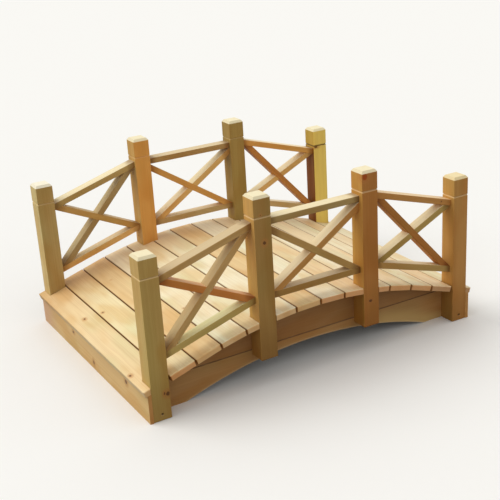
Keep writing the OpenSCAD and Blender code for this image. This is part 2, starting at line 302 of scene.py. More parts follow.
def grain_group(wood):
    """Wood as a solid: rings around the first axis, streaks and fibres along it, small knots."""
    w, given, result = new_group(
        "Wood grain",
        [("Place", "NodeSocketVector"), ("Grain", "NodeSocketVector"), ("Colour", "NodeSocketColor"),
         ("Cut", "NodeSocketColor"), ("Pale", "NodeSocketColor"), ("Bleach_and_sheen", "NodeSocketFloat"),
         ("Contrast", "NodeSocketFloat")],
        [("Colour", "NodeSocketColor"), ("Height", "NodeSocketFloat")])
    place = given["Place"]
    slow = w.vector("MULTIPLY", place, SWAY)
    sway = w.vector("SUBTRACT", w.noise(slow, 1.0, 2.0, colour=True), MIDDLE)
    bent = w.vector("ADD", place, w.vector("MULTIPLY", sway, (0.0, wood.waviness, wood.waviness)))
    radius = w.vector("LENGTH", w.vector("MULTIPLY", bent, (0.0, 1.0, 1.0)))
    drift = w.math("MULTIPLY", w.noise(w.vector("MULTIPLY", place, DRIFT), 1.0), DRIFT_RINGS)
    phase = w.math("FRACT", w.math("ADD", w.math("DIVIDE", radius, wood.ring), drift))
    late = w.math("MULTIPLY", w.step(phase, *LATE_WOOD), w.step(phase, *RING_END))
    streak = w.step(w.noise(w.vector("MULTIPLY", place, STREAKS), 1.0, 3.0), *STREAKED)
    fibre = w.noise(w.vector("MULTIPLY", place, FIBRES), 1.0, 1.0)

    # Wide blotches: some darker and redder, and others only a little darker and greener
    warm = w.step(w.noise(w.vector("MULTIPLY", place, WARM_BLOTCHES), 1.0, 1.5), *WARMED)
    elsewhere = w.vector("ADD", w.vector("MULTIPLY", place, GREEN_BLOTCHES), GREEN_SHIFT)
    green = w.step(w.noise(elsewhere, 1.0, 1.5), *GREENED)
    colour = given["Colour"]
    for where, shade in ((warm, WARM_SHADE), (green, GREEN_SHADE)):
        colour = w.mix(w.math("MULTIPLY", where, given["Contrast"]), colour, shaded(w, colour, shade))
    figure = w.math("MULTIPLY_ADD", late, RING_SHARE, w.math("MULTIPLY", streak, STREAK_SHARE))
    figure = w.math("MULTIPLY", figure, given["Contrast"])
    colour = w.mix(figure, colour, shaded(w, given["Colour"], FIGURE_SHADE))

    # Faces that look up are paler, with sun bleaching and a painted sheen, though not those of the
    # steepest braces, and late wood and streaks still show on them. Cut ends have a colour of their own
    # and show the rings
    normal = w.node("ShaderNodeTexCoord").outputs["Normal"]
    upward = w.step(w.split(normal)["Z"], *LEVEL)
    share = w.math("MULTIPLY", upward, given["Bleach_and_sheen"])
    kept = w.math("MULTIPLY", figure, FIGURE_KEPT)
    share = w.math("MULTIPLY", share, w.math("SUBTRACT", 1.0, kept))
    colour = w.mix(share, colour, given["Pale"])
    facing = w.math("ABSOLUTE", w.vector("DOT_PRODUCT", normal, given["Grain"]))
    cut = w.step(facing, *CUT_ACROSS)
    rings = w.math("MULTIPLY_ADD", late, CUT_RING_SHARE, w.math("MULTIPLY", warm, CUT_BLOTCH_SHARE))
    ringed = w.mix(rings, given["Cut"], shaded(w, given["Cut"], END_RING_SHADE))
    colour = w.mix(w.math("MULTIPLY", cut, CUT_SHARE), colour, ringed)

    # Small knots, in some of the cells
    cells = w.node("ShaderNodeTexVoronoi", voronoi_dimensions="3D", feature="F1")
    ripple = w.vector("MULTIPLY", sway, KNOT_RIPPLE)
    w.put(cells.inputs["Vector"], w.vector("ADD", place, ripple))
    cells.inputs["Scale"].default_value = KNOT_CELLS
    reach = w.math("DIVIDE", cells.outputs["Distance"], KNOT_CELLS * wood.knot_size)
    chosen = w.math("GREATER_THAN", w.split(cells.outputs["Color"])["X"], WITHOUT_KNOT)
    heart = w.math("MULTIPLY", w.step(reach, *SMALL_HEART), chosen)
    halo = w.math("MULTIPLY", w.step(reach, *SMALL_HALO), chosen)
    colour = w.mix(halo, colour, wood.halo_colour)
    colour = w.mix(heart, colour, wood.knot_colour)

    height = w.math("MULTIPLY_ADD", fibre, FIBRE_HEIGHT, w.math("MULTIPLY", late, RING_HEIGHT))
    height = w.math("MULTIPLY_ADD", streak, STREAK_HEIGHT, height)
    height = w.math("MULTIPLY_ADD", heart, SMALL_KNOT_HEIGHT, height)
    w.put(result["Colour"], colour)
    w.put(result["Height"], height)


# How ragged a large knot's outline is: cells to the metre, and how far it wanders, in metres
RAGGED_SCALE = 70.0
RAGGED_REACH = (0.008, 0.008, 0.008)
# The rings in a large knot's halo: how many to the knot's radius, their step and their strength
HALO_RINGS = 1.4
HALO_RING = (0.6, 0.95)
HALO_RING_SHARE = 0.4


def knot_group(wood):
    """One knot at a chosen place, with the bent wood around it."""
    w, given, result = new_group(
        "Knot",
        [("Colour", "NodeSocketColor"), ("Height", "NodeSocketFloat"), ("Centre", "NodeSocketVector"),
         ("Reach", "NodeSocketVector"), ("Heart", "NodeSocketColor")],
        [("Colour", "NodeSocketColor"), ("Height", "NodeSocketFloat")])
    place = w.node("ShaderNodeTexCoord").outputs["Object"]
    ragged = w.vector("SUBTRACT", w.noise(place, RAGGED_SCALE, 1.0, colour=True), MIDDLE)
    place = w.vector("ADD", place, w.vector("MULTIPLY", ragged, RAGGED_REACH))
    from_centre = w.vector("SUBTRACT", place, given["Centre"])
    away = w.vector("LENGTH", w.vector("DIVIDE", from_centre, given["Reach"]))
    heart = w.step(away, *LARGE_HEART)
    halo = w.step(away, *LARGE_HALO)
    ring = w.step(w.math("FRACT", w.math("MULTIPLY", away, HALO_RINGS)), *HALO_RING)
    rings = w.math("MULTIPLY", ring, halo)
    colour = w.mix(halo, given["Colour"], wood.halo_colour)
    colour = w.mix(w.math("MULTIPLY", rings, HALO_RING_SHARE), colour, given["Heart"])
    w.put(result["Colour"], w.mix(heart, colour, given["Heart"]))
    w.put(result["Height"], w.math("MULTIPLY_ADD", heart, LARGE_KNOT_HEIGHT, given["Height"]))


# How far below a board's top its gap's painted shade begins and is full, and how wide its edge of
# painted shade is, in metres
GAP_BELOW = (0.0005, 0.003)
SHADED_EDGE = 0.006
# How far a face turns towards the ends where it begins to be a long side and where it fully is
LONG_SIDE = (0.2, 0.5)
# The share of the first and the last board, at their outer sides, that has no painted gap or edge shade
OUTER_SHARE = 0.3


def deck_group():
    """Where a point lies in its deck board: along it, across it, down from its top, the board's
    number, and whether it is in a gap or on a long edge."""
    w, _, result = new_group(
        "Deck place", [],
        [("Place", "NodeSocketVector"), ("Number", "NodeSocketFloat"), ("Gap", "NodeSocketFloat"),
         ("Edge", "NodeSocketFloat")])
    coordinates = w.node("ShaderNodeTexCoord").outputs
    x, y, z = w.split(coordinates["Object"])
    bend_x = DECK_RADIUS * math.sin(END_SLOPE)
    bend_z = CROWN_HEIGHT - DECK_RADIUS * (1 - math.cos(END_SLOPE))
    out = w.math("ABSOLUTE", x)
    up = w.math("SUBTRACT", z, CROWN_HEIGHT - DECK_RADIUS)
    angle = w.math("ARCTAN2", out, up)
    curved = w.math("LESS_THAN", angle, END_SLOPE)
    past_x = w.math("SUBTRACT", out, bend_x)
    past_z = w.math("SUBTRACT", z, bend_z)
    run_arc = w.math("MULTIPLY", angle, DECK_RADIUS)
    level_run = w.math("MULTIPLY_ADD", past_x, math.cos(END_SLOPE), DECK_RADIUS * END_SLOPE)
    run_line = w.math("SUBTRACT", level_run, w.math("MULTIPLY", past_z, math.sin(END_SLOPE)))
    depth_arc = w.math("SUBTRACT", DECK_RADIUS, w.vector("LENGTH", w.join(out, 0.0, up)))
    depth_line = w.math("MULTIPLY", w.math("MULTIPLY_ADD", past_x, math.sin(END_SLOPE),
                                           w.math("MULTIPLY", past_z, math.cos(END_SLOPE))), -1.0)
    flat = w.math("SUBTRACT", 1.0, curved)
    run = w.math("MULTIPLY_ADD", run_arc, curved, w.math("MULTIPLY", run_line, flat))
    depth = w.math("MULTIPLY_ADD", depth_arc, curved, w.math("MULTIPLY", depth_line, flat))
    side = w.math("SIGN", x)
    boards = w.math("MULTIPLY_ADD", w.math("MULTIPLY", run, side), 1 / BOARD_PITCH, BOARD_COUNT / 2)
    number = w.math("FLOOR", boards)
    inside = w.math("MULTIPLY", w.math("SUBTRACT", w.math("FRACT", boards), 0.5), BOARD_PITCH)

    # A gap is seen as the long sides of its two boards, from just below their tops down, and its shade is
    # painted on them. The outer sides of the first and the last board belong to none
    beside = w.step(w.math("ABSOLUTE", w.split(coordinates["Normal"])["X"]), *LONG_SIDE)
    inner = w.math("LESS_THAN", w.math("ABSOLUTE", w.math("SUBTRACT", boards, BOARD_COUNT / 2)),
                   BOARD_COUNT / 2 - OUTER_SHARE)
    gap = w.math("MULTIPLY", w.math("MULTIPLY", beside, inner), w.step(depth, *GAP_BELOW))
    w.put(result["Place"], w.join(y, inside, depth))
    w.put(result["Number"], number)
    w.put(result["Gap"], gap)
    edge = w.step(w.math("ABSOLUTE", inside), BOARD_WIDTH / 2 - SHADED_EDGE, BOARD_WIDTH / 2)
    w.put(result["Edge"], w.math("MULTIPLY", edge, inner))


# Planed and oiled timber: gloss, the step of its roughness from low to high places, and how
# strongly the relief shows
GLOSS = 0.2
ROUGHNESS = (0.0, 0.6, 0.5, 0.68)
RELIEF_STRENGTH = 0.8


def wood_shader(w, colour, height, wood):
    """Closes a wood material: planed and oiled timber with its grain in relief."""
    shader = w.node("ShaderNodeBsdfPrincipled")
    w.put(shader.inputs["Base Color"], colour)
    w.put(shader.inputs["Roughness"], w.step(height, *ROUGHNESS))
    shader.inputs["Specular IOR Level"].default_value = GLOSS
    bump = w.node("ShaderNodeBump")
    bump.inputs["Strength"].default_value = RELIEF_STRENGTH
    bump.inputs["Distance"].default_value = wood.relief
    w.put(bump.inputs["Height"], height)
    w.put(shader.inputs["Normal"], bump.outputs["Normal"])
    w.put(w.node("ShaderNodeOutputMaterial").inputs["Surface"], shader.outputs["BSDF"])


def new_material(name):
    """An empty node material and its wiring."""
    material = bpy.data.materials.new(name)
    material.use_nodes = True
    material.node_tree.nodes.clear()
    return material, Wiring(material.node_tree)


# The timbers' colours by name
WOODS = {
    "olive": paint(204, 168, 96), "moss": paint(172, 142, 78), "sage": paint(193, 163, 104),
    "lichen": paint(177, 150, 103), "tan": paint(185, 144, 80), "oat": paint(206, 163, 96),
    "fawn": paint(218, 174, 110), "honey": paint(234, 186, 116), "amber": paint(228, 167, 88),
    "hazel": paint(214, 155, 85), "ginger": paint(227, 146, 74), "russet": paint(198, 133, 65),
    "umber": paint(180, 132, 81), "loam": paint(195, 147, 91), "biscuit": paint(245, 206, 142),
    "cream": paint(248, 230, 182), "shell": paint(246, 218, 168), "wheat": paint(240, 208, 152),
    "ivory": paint(254, 244, 212), "dun": paint(250, 226, 182), "linen": paint(252, 237, 198),
    "peach": paint(250, 202, 138), "apricot": paint(246, 177, 111), "clay": paint(213, 158, 106),
}
# Cut ends of the posts and rails, and of the fascia boards
PALE_END = paint(246, 234, 196)
FASCIA_END = paint(206, 144, 78)
# Faces towards the left end and the front whose colour differs from their timber's wood, partly
# its own colour and partly painted light and shade: back_post_4's dark left face is a painted
# shadow and its bright front face is painted light
LEFT_FACES = {
    "front_post_1": paint(221, 186, 113), "front_post_2": paint(222, 174, 97),
    "front_post_3": paint(212, 160, 80), "front_post_4": paint(208, 159, 87),
    "back_post_1": paint(238, 210, 144), "back_post_2": paint(216, 175, 100),
    # back_post_4's left face is a painted shadow
    "back_post_4": paint(130, 72, 8),
    "front_rising_brace_1": paint(204, 177, 120), "back_rising_brace_1": paint(204, 177, 120),
}
FRONT_FACES = {
    # back_post_4's front face is painted light
    "back_post_4": paint(252, 222, 116), "back_handrail_2": paint(182, 145, 90),
    "front_bottom_rail_1": paint(211, 182, 107), "back_bottom_rail_2": paint(202, 169, 115),
    "back_bottom_rail_3": paint(216, 181, 128), "back_falling_brace_2": paint(233, 174, 99),
}
# A left face that has another colour from a certain height up, above its painted shadow
LEFT_ABOVE_SHADOW = {"back_post_4": paint(196, 164, 72)}
LEFT_SHADOW_TOP = (0.745, 0.755)
# How squarely a face looks left or front where its own colour, partly painted light and shade,
# begins and where it is full
FACING = (0.4, 0.8)
# The blotches in these colours: cells to the metre, and the step of the colour's strength
FACE_BLOTCHES = (30.0, 30.0, 3.0)
UNEVEN = (0.2, 0.6, 0.75, 1.0)


def grain_node(w, place, grain, colour, cut, pale, bleach_and_sheen, contrast):
    """The wood grain group with its inputs joined, and its two results."""
    made = w.node("ShaderNodeGroup", node_tree=bpy.data.node_groups["Wood grain"])
    for label, value in (("Place", place), ("Grain", grain), ("Colour", colour), ("Cut", cut),
                         ("Pale", pale), ("Bleach_and_sheen", bleach_and_sheen), ("Contrast", contrast)):
        w.put(made.inputs[label], value)
    return made.outputs["Colour"], made.outputs["Height"]


def faced(w, colour, node):
    """A timber's wood, with other colours, partly painted light and shade, on its left and front faces."""
    coordinates = w.node("ShaderNodeTexCoord").outputs
    z = w.split(coordinates["Object"])["Z"]
    stretched = w.vector("MULTIPLY", coordinates["Object"], FACE_BLOTCHES)
    uneven = w.step(w.noise(stretched, 1.0), *UNEVEN)
    for axis, faces in (("X", LEFT_FACES), ("Y", FRONT_FACES)):
        if node in faces:
            other = faces[node]
            if axis == "X" and node in LEFT_ABOVE_SHADOW:
                other = w.mix(w.step(z, *LEFT_SHADOW_TOP), other, LEFT_ABOVE_SHADOW[node])
            facing = w.math("MULTIPLY", w.split(coordinates["Normal"])[axis], -1.0)
            colour = w.mix(w.math("MULTIPLY", w.step(facing, *FACING), uneven), colour, other)
    return colour


def timber_material(node, wood, timber, grain, heart, seed, bleach_and_sheen=0.5, contrast=0.7, pale=None,
                    cut=PALE_END, knots=(), touch=None):
    """Wood for one straight timber: grain is its direction and heart a point on its pith."""
    material, w = new_material(f"{node} wood")
    rng = random.Random(seed)
    turn = Vector(grain).normalized().rotation_difference(Vector(ALONG)).to_matrix()
    start = turn @ Vector(heart)
    mapping = w.node("ShaderNodeMapping", w.node("ShaderNodeTexCoord").outputs["Object"])
    mapping.inputs["Rotation"].default_value = turn.to_euler()
    mapping.inputs["Location"].default_value = (rng.uniform(2, 30), -start.y, -start.z)
    base = faced(w, WOODS[timber], node)
    colour, height = grain_node(w, mapping.outputs[0], tuple(Vector(grain).normalized()), base, cut,
                                pale or wood.bleached_and_sheen, bleach_and_sheen, contrast)
    colour, height = add_knots(w, colour, height, knots)
    if touch:
        colour = touch(w, colour)
    wood_shader(w, colour, height, wood)
    return material


def add_knots(w, colour, height, knots):
    """Puts knots, each a centre, a reach in metres and a heart colour, on top of a wood."""
    for centre, reach, heart in knots:
        made = w.node("ShaderNodeGroup", node_tree=bpy.data.node_groups["Knot"])
        for label, value in (("Colour", colour), ("Height", height), ("Centre", centre),
                             ("Reach", reach), ("Heart", heart)):
            w.put(made.inputs[label], value)
        colour, height = made.outputs["Colour"], made.outputs["Height"]
    return colour, height


def dress(node, material):
    """Gives a CAD node its material."""
    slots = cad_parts[node].data.materials
    slots.clear()
    slots.append(material)


# The posts' woods, and the knots that stand out on them: centre, reach and colour of the heart
BROWN_HEART = paint(96, 60, 28)
RED_HEART = paint(180, 76, 18)
POST_WOODS = {
    "front_post_1": "olive", "front_post_2": "tan", "front_post_3": "russet", "front_post_4": "hazel",
    "back_post_1": "sage", "back_post_2": "amber", "back_post_3": "moss", "back_post_4": "oat",
}
POST_KNOTS = {
    "front_post_1": (((-0.920, POST_KNOTS_OUT, 0.140), (0.014, 0.012, 0.014), BROWN_HEART),
                     ((-0.939, POST_KNOTS_OUT, 0.146), (0.005, 0.005, 0.009), BROWN_HEART)),
    "front_post_2": (((-0.324, POST_KNOTS_OUT, 0.791), (0.011, 0.011, 0.012), BROWN_HEART),),
    "front_post_3": (((0.322, POST_KNOTS_OUT, 0.299), (0.013, 0.012, 0.011), BROWN_HEART),
                     ((0.297, POST_KNOTS_OUT, 1.008), (0.020, 0.022, 0.020), RED_HEART)),
    "back_post_4": (((0.925, 0.658, 0.756), (0.016, 0.008, 0.007), BROWN_HEART),),
}


class BRIDGE_OT_wood(bpy.types.Operator):
    """Make the node groups that all the woods share"""
    bl_idname = "bridge.make_wood"
    bl_label = "Wood Patterns"

    def execute(self, context):
        wood = settings().wood
        grain_group(wood)
        knot_group(wood)
        deck_group()
        return {"FINISHED"}


# Colour and strength of the groove's painted highlight, and the posts where it differs: on
# back_post_4 it is painted shade
GROOVE_CREAM = paint(240, 214, 164)
GROOVE_BROWN = paint(104, 74, 30)
GROOVE_HIGHLIGHT = (GROOVE_CREAM, 0.5)
OTHER_GROOVE_LIGHT = {
    "back_post_1": (GROOVE_CREAM, 0.3), "back_post_2": (GROOVE_CREAM, 0.2),
    "back_post_3": (GROOVE_CREAM, 0.2), "back_post_4": (GROOVE_BROWN, 0.8),
}
# How far from the groove's middle its painted light begins to fade and is gone
GROOVE_HALF_WIDTH = (0.004, 0.0055)
# How much darker the posts are towards their feet, which are darker still, and how high it rises
FOOT_DARKENING = 0.7
DARKER_FEET = {"front_post_2": 0.95, "front_post_4": 0.9}
FOOT_DARKENING_RISE = 0.34
# The post tops that aren't as pale as most or are paler, how level a sawn top is where its
# colour begins and is full, how far below the highest point it does, and its strength
OTHER_POST_TOPS = {"front_post_4": paint(241, 221, 171), "back_post_1": paint(252, 245, 222)}
SAWN_LEVEL = (0.4, 0.6)
SAWN_DROP = (0.04, 0.03)
SAWN_SHARE = 0.9
# The first seed for the places of the posts' hearts, and how far the hearts stray
POST_HEART_SEED = 100
POST_HEART_STRAY = 0.05
# How strongly the posts' figure shows, on most and where a front face has its own colour with painted
# light
POST_CONTRAST = 0.7
FACED_CONTRAST = 0.35


def post_marks(node, foot, top):
    """A touch that bleaches the sawn top of a post, paints light into its groove and darkens its foot."""
    groove_light, strength = OTHER_GROOVE_LIGHT.get(node, GROOVE_HIGHLIGHT)

    def touch(w, colour):
        coordinates = w.node("ShaderNodeTexCoord").outputs
        z = w.split(coordinates["Object"])["Z"]
        darker_foot = w.step(z, foot, foot + FOOT_DARKENING_RISE, DARKER_FEET.get(node, FOOT_DARKENING), 0.0)
        colour = w.mix(darker_foot, colour, shaded(w, colour, FOOT_DARKENING_FACTORS))
        off_groove = w.math("ABSOLUTE", w.math("SUBTRACT", z, top - GROOVE_DROP))
        # Painted highlight in the groove, and painted shade in back_post_4's groove
        colour = w.mix(w.step(off_groove, *GROOVE_HALF_WIDTH, strength, 0.0), colour, groove_light)
        upward = w.step(w.split(coordinates["Normal"])["Z"], *SAWN_LEVEL)
        near_top = w.step(z, top - SAWN_DROP[0], top - SAWN_DROP[1], 0.0, SAWN_SHARE)
        sawn = OTHER_POST_TOPS.get(node, PALE_END)
        return w.mix(w.math("MULTIPLY", upward, near_top), colour, sawn)
    return touch


class BRIDGE_OT_posts(bpy.types.Operator):
    """Finish the eight posts"""
    bl_idname = "bridge.dress_posts"
    bl_label = "Posts"

    def execute(self, context):
        wood = settings().wood
        for seed, (node, timber) in enumerate(POST_WOODS.items()):
            rng = random.Random(POST_HEART_SEED + seed)
            low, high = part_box(node)
            stray = [rng.uniform(-POST_HEART_STRAY, POST_HEART_STRAY) for _ in range(2)]
            heart = (low + high) / 2 + Vector((*stray, 0))
            contrast = FACED_CONTRAST if node in FRONT_FACES else POST_CONTRAST
            dress(node, timber_material(node, wood, timber, UPRIGHT, heart, seed, bleach_and_sheen=0.0,
                                        contrast=contrast, knots=POST_KNOTS.get(node, ()),
                                        touch=post_marks(node, low.z, high.z)))
        return {"FINISHED"}


# The deck boards' woods, from the left end to the right end, and those of their cut ends
BOARD_WOODS = ("shell", "cream", "wheat", "ivory", "linen", "ivory", "wheat",
               "ivory", "dun", "ivory", "dun", "linen", "dun", "linen")
BOARD_ENDS = ("peach", "apricot", "peach", "peach", "peach", "peach", "peach",
              "apricot", "apricot", "apricot", "apricot", "apricot", "clay", "clay")
# How strongly each board has the back railing's painted shadow, and what each grade of it is worth
RAILING_SHADE_GRADES = {"heavy": 0.9, "strong": 0.58, "medium": 0.42, "light": 0.27}
BACK_SHADED = ("strong", "heavy", "strong", "medium", "medium", "medium", "light",
                "light", "light", "light", "light", "light", "light", "light")
BOARD_KNOTS = {
    "left_nosing_board": (((-0.975, 0.187, 0.206), (0.008, 0.011, 0.008), BROWN_HEART),
                          ((-1.030, -0.564, 0.190), (0.008, 0.011, 0.008), BROWN_HEART)),
    "left_deck_boards": (((-0.879, 0.145, 0.236), (0.006, 0.008, 0.006), BROWN_HEART),),
}
# Painted shade in the gaps and on the boards' edges beside them, and how strongly the edges have it
GAP_SHADE = paint(156, 100, 46)
EDGE_SHADE = paint(122, 84, 48)
EDGE_SHADE_SHARE = 0.7
DECK_BLEACH_AND_SHEEN = 0.1
DECK_CONTRAST = 0.85
# The stain at the boards' ends: its step across the deck, its outline's cells to the metre and
# how far it wanders, and its colour. Then the same for the painted shadow of the back railing
END_STAINED = (0.82, 0.87, 0.0, 0.25)
END_CELLS = (16.0, 3.0, 1.0)
END_WANDER = 0.16
END_STAIN = paint(222, 168, 106)
BACK_SHADE_FROM = (0.45, 0.95)
BACK_CELLS = (5.0, 3.0, 1.0)
BACK_WANDER = 0.5
BACK_SHADE = paint(214, 164, 100)
# Where the boards are cut from the log: how far along it each next one is, the turns of the two
# waves that shift it aside and in depth, how far they shift it, and the middle depth
LOG_STEP = 3.7
LOG_TURNS = (5.1, 2.3)
LOG_STRAY = (0.05, 0.03)
LOG_DEPTH = 0.07


def by_board(w, number, colours):
    """The colour that the board with that number has in a list from the left end to the right."""
    ramp = w.node("ShaderNodeValToRGB", w.math("DIVIDE", w.math("ADD", number, 0.5), BOARD_COUNT))
    ramp.color_ramp.interpolation = "CONSTANT"
    stops = ramp.color_ramp.elements
    while len(stops) < BOARD_COUNT:
        stops.new(1.0)
    for index, colour in enumerate(colours):
        stops[index].position = index / BOARD_COUNT
        stops[index].color = colour
    return ramp.outputs["Color"]


def stained_ends_and_back_shade(w, colour, number):
    """Boards have the back railing's shadow painted on, browner towards it, and are stained over the last
    centimetres of each end.
    """
    place = w.node("ShaderNodeTexCoord").outputs["Object"]
    y = w.split(place)["Y"]
    ragged = w.math("MULTIPLY", w.noise(w.vector("MULTIPLY", place, END_CELLS), 1.0), END_WANDER)
    ends = w.step(w.math("ADD", w.math("ABSOLUTE", y), ragged), *END_STAINED)
    patchy = w.math("MULTIPLY", w.noise(w.vector("MULTIPLY", place, BACK_CELLS), 1.0), BACK_WANDER)
    shares = [RAILING_SHADE_GRADES[grade] for grade in BACK_SHADED]
    railing_shade = by_board(w, number, [(share, share, share, 1.0) for share in shares])
    back = w.math("MULTIPLY", w.step(w.math("ADD", y, patchy), *BACK_SHADE_FROM), railing_shade)
    return w.mix(ends, w.mix(back, colour, BACK_SHADE), END_STAIN)


class BRIDGE_OT_deck(bpy.types.Operator):
    """Finish the deck boards"""
    bl_idname = "bridge.dress_deck"
    bl_label = "Deck"

    def execute(self, context):
        wood = settings().wood
        for node in ("left_nosing_board", "left_deck_boards", "middle_deck_boards",
                     "right_deck_boards", "right_nosing_board"):
            material, w = new_material(f"{node} wood")
            where = w.node("ShaderNodeGroup", node_tree=bpy.data.node_groups["Deck place"]).outputs
            number = where["Number"]
            aside, below = [w.math("SINE", w.math("MULTIPLY", number, turn)) for turn in LOG_TURNS]
            shift = w.join(w.math("MULTIPLY", number, LOG_STEP),
                           w.math("MULTIPLY", aside, LOG_STRAY[0]),
                           w.math("MULTIPLY_ADD", below, LOG_STRAY[1], LOG_DEPTH))
            base, cut = [by_board(w, number, [WOODS[timber] for timber in woods])
                         for woods in (BOARD_WOODS, BOARD_ENDS)]
            base = stained_ends_and_back_shade(w, base, number)
            colour, height = grain_node(w, w.vector("ADD", where["Place"], shift), ACROSS, base,
                                        cut, wood.bleached_and_sheen, DECK_BLEACH_AND_SHEEN, DECK_CONTRAST)
            colour, height = add_knots(w, colour, height, BOARD_KNOTS.get(node, ()))
            # Painted shade along the boards' long edges and in the gaps
            colour = w.mix(w.math("MULTIPLY", where["Edge"], EDGE_SHADE_SHARE), colour, EDGE_SHADE)
            colour = w.mix(where["Gap"], colour, GAP_SHADE)
            wood_shader(w, colour, height, wood)
            dress(node, material)
        return {"FINISHED"}


# The planks' pale edge and olive end, above the arch, and where the olive begins on the right
ARCH_EDGE = (0.004, 0.010, 0.35, 0.0)
OLIVE_ABOVE_ARCH = (0.02, 0.10, 0.75, 0.0)
OLIVE_FROM = (0.3, 0.5)
OLIVE = paint(214, 176, 112)
# The joint between the planks, from its middle, and where the fascia boards turn redder
JOINT_HALF_WIDTH = (0.002, 0.005, 0.65, 0.0)
JOINT_COLOUR = paint(74, 44, 24)
FASCIA_RED_FROM = (0.45, 0.75, 0.0, 0.8)
FASCIA_RED = paint(226, 176, 140)
PLANK_BLEACH_AND_SHEEN = 0.2
# How far beside their middles the planks' and the fascia boards' hearts lie, and how high the
# fascia boards' hearts are
PLANK_HEART_ASIDE = 0.04
FASCIA_HEART_ASIDE = 0.03
FASCIA_HEART_HEIGHT = 0.06
STRINGER_SEED = 200
FASCIA_KNOTS = {
    "left_fascia": (((FASCIA_KNOTS_OUT, 0.253, 0.116), (0.010, 0.013, 0.008), BROWN_HEART),
                    ((FASCIA_KNOTS_OUT, -0.032, 0.041), (0.009, 0.011, 0.014), BROWN_HEART),
                    ((FASCIA_KNOTS_OUT, -0.488, 0.122), (0.010, 0.014, 0.014), BROWN_HEART)),
    "right_fascia": (),
}


def plank_marks(w, colour):
    """The planks' dark joint and pale edge along the arch, and the lower plank's olive right end."""
    x, _, z = w.split(w.node("ShaderNodeTexCoord").outputs["Object"])
    arch_radius = ((ARCH_SPAN / 2) ** 2 + ARCH_HEIGHT ** 2) / (2 * ARCH_HEIGHT)
    away = w.vector("LENGTH", w.join(x, 0.0, w.math("SUBTRACT", z, ARCH_HEIGHT - arch_radius)))
    above = w.math("SUBTRACT", away, arch_radius)
    edge = w.step(above, *ARCH_EDGE)
    olive = w.math("MULTIPLY", w.step(above, *OLIVE_ABOVE_ARCH), w.step(x, *OLIVE_FROM))
    colour = w.mix(olive, colour, OLIVE)
    off_joint = w.math("ABSOLUTE", w.math("SUBTRACT", z, JOINT_HEIGHT))
    joint = w.step(off_joint, *JOINT_HALF_WIDTH)
    return w.mix(joint, w.mix(edge, colour, WOODS["shell"]), JOINT_COLOUR)


def fascia_marks(w, colour):
    """The fascia boards turn redder over their last part at the back."""
    y = w.split(w.node("ShaderNodeTexCoord").outputs["Object"])["Y"]
    return w.mix(w.step(y, *FASCIA_RED_FROM), colour, FASCIA_RED)


class BRIDGE_OT_stringers(bpy.types.Operator):
    """Finish the stringer planks and the fascia boards"""
    bl_idname = "bridge.dress_stringers"
    bl_label = "Stringers"

    def execute(self, context):
        wood = settings().wood
        seed = STRINGER_SEED
        for row in ("front", "centre", "back"):
            for part, timber in (("upper", "umber"), ("lower", "loam")):
                node = f"{row}_stringer_{part}"
                low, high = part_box(node)
                heart = Vector((0, (low.y + high.y) / 2 + PLANK_HEART_ASIDE, (low.z + high.z) / 2))
                dress(node, timber_material(node, wood, timber, ALONG, heart, seed,
                                            bleach_and_sheen=PLANK_BLEACH_AND_SHEEN, touch=plank_marks))
                seed += 1
        for node, knots in FASCIA_KNOTS.items():
            low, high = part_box(node)
            heart = Vector(((low.x + high.x) / 2 + FASCIA_HEART_ASIDE, 0, FASCIA_HEART_HEIGHT))
            dress(node, timber_material(node, wood, "biscuit", ACROSS, heart, seed,
                                        cut=FASCIA_END, knots=knots, touch=fascia_marks))
            seed += 1
        return {"FINISHED"}


# The railings' woods, by row and bay from the left
HANDRAIL_WOODS = {"front": ("fawn", "sage", "hazel"), "back": ("sage", "tan", "amber")}
BOTTOM_RAIL_WOODS = {"front": ("olive", "tan", "oat"), "back": ("honey", "fawn", "honey")}
RISING_WOODS = {"front": ("fawn", "hazel", "olive"), "back": ("lichen", "honey", "honey")}
FALLING_WOODS = {"front": ("ginger", "oat", "russet"), "back": ("oat", "amber", "russet")}
# How far most tops have sun bleaching and a painted sheen, those that have less, and three tops of
# another colour
BLEACH_AND_SHEEN = 0.85
LESS_BLEACH_AND_SHEEN = {
    "front_handrail_3": 0.6, "back_handrail_2": 0.6, "front_bottom_rail_3": 0.6,
    "back_bottom_rail_1": 0.6, "back_bottom_rail_2": 0.55, "front_falling_brace_1": 0.35,
    "front_falling_brace_2": 0.6, "front_falling_brace_3": 0.65, "back_falling_brace_1": 0.35,
}
OTHER_TOPS = {
    "front_handrail_1": paint(212, 193, 155), "front_bottom_rail_2": paint(216, 199, 163),
    "front_bottom_rail_1": paint(241, 240, 185),
}
# How dark the timbers are at their joints, with dirt and painted shade where the parts meet, those
# that are less dark, how far from a timber's end the darkening is full and gone, and its outline's
# cells to the metre and how far it wanders
JOINT_DIRT_AND_SHADE = 0.8
LIGHTER_JOINTS = {"front_handrail_3": 0.2, "front_rising_brace_2": 0.2}
FULL_JOINT_DARKENING = -0.012
BRACE_JOINT_REACH = 0.062
RAIL_JOINT_REACH = 0.034
JOINT_CELLS = 25.0
JOINT_WANDER = 0.04
# Where the rails' and braces' hearts lie from their middles
RAIL_HEART = Vector((0, 0.02, -0.05))
BRACE_HEART = Vector((0, 0.03, 0))
RAILING_SEED = 300


